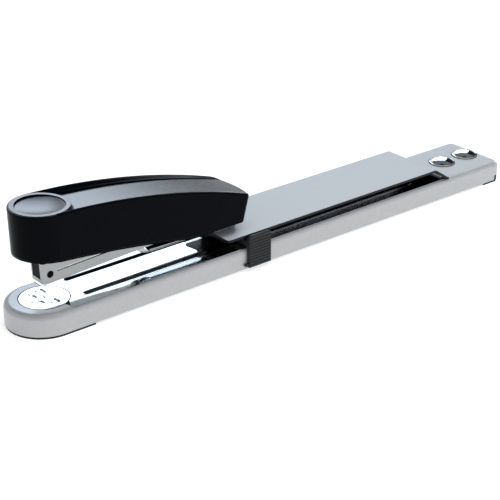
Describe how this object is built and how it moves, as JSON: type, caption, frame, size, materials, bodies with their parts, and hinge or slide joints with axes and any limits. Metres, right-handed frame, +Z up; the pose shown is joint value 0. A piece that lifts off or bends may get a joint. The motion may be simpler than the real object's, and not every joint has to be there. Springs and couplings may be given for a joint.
{
  "type": "long-arm stapler",
  "caption": "Long-arm stapler: channel base with bed plate and anvil disc, flat riveted arm, hinged magazine and cover, sliding paper stop.",
  "frame": {"origin": "on the table under the middle of the object's length and width", "axes": "+X from the nose to the tail, +Y to the left side seen from the nose, +Z up"},
  "size_m": [0.386, 0.0516, 0.0738],
  "materials": {
    "base_paint": "satin silver-grey lacquer",
    "arm_paint": "satin light grey lacquer",
    "polished_steel": "mirror polished, nickel plated",
    "chrome_trim": "bright chrome",
    "plain_steel": "zinc plated",
    "magazine_steel": "satin nickel plated",
    "black_steel": "blackened",
    "cover_plastic": "moulded, semi-gloss black",
    "stop_plastic": "moulded, fine matt black",
    "foot_rubber": "matt black"
  },
  "bodies": {
    "base": {"base_channel": "base_paint", "bed_plate": "polished_steel", "front_foot": "foot_rubber", "rear_foot": "foot_rubber", "anvil_seat": "plain_steel", "arm_plate": "arm_paint", "tail_stiffener": "plain_steel", "tail_rivets": "chrome_trim", "hinge_bracket": "plain_steel", "bracket_rivets": "plain_steel", "hinge_pin": "polished_steel", "pin_clips": "black_steel", "lift_spring": "chrome_trim"},
    "anvil": {"anvil_disc": "polished_steel", "anvil_stem": "plain_steel", "anvil_spring": "plain_steel", "anvil_clip": "black_steel"},
    "paper_stop": {"stop_saddle": "stop_plastic", "stop_spring": "plain_steel"},
    "magazine": {"magazine_channel": "magazine_steel", "nose_guide": "stop_plastic", "staple_rail": "plain_steel", "staple_strip": "plain_steel", "guide_rod": "polished_steel", "rod_seat": "plain_steel", "pusher_spring": "plain_steel"},
    "pusher": {"pusher": "plain_steel"},
    "cover": {"cover_shell": "cover_plastic", "top_inlay": "cover_plastic", "thumb_pad": "cover_plastic", "cover_frame": "plain_steel", "frame_screws": "plain_steel", "driver_blade": "polished_steel", "blade_rivets": "plain_steel", "cover_spring": "plain_steel"}
  },
  "joints": [
    {"name": "anvil_turn", "type": "hinge", "parent": "base", "child": "anvil", "pos_m": [-0.1692, 0, 0.0136], "axis": [0, 0, 1], "continuous": true},
    {"name": "stop_slide", "type": "slide", "parent": "base", "child": "paper_stop", "axis": [1, 0, 0], "range_m": [-0.088, 0.14]},
    {"name": "magazine_press", "type": "hinge", "parent": "base", "child": "magazine", "pos_m": [-0.04133, 0, 0.03707], "axis": [0, -1, 0], "range_deg": [0, 4.7], "stiffness_Nm_per_rad": 4, "springref_deg": -6.88, "deforming": ["lift_spring"]},
    {"name": "pusher_slide", "type": "slide", "parent": "magazine", "child": "pusher", "axis": [0.999, 0, 0.0445], "range_m": [0, 0.038], "stiffness_N_per_m": 60, "springref_m": -0.01, "deforming": ["pusher_spring"]},
    {"name": "cover_press", "type": "hinge", "parent": "magazine", "child": "cover", "pos_m": [-0.04133, 0, 0.03707], "axis": [0, -1, 0], "range_deg": [-55, 5.2], "deforming": ["cover_spring"]}
  ]
}
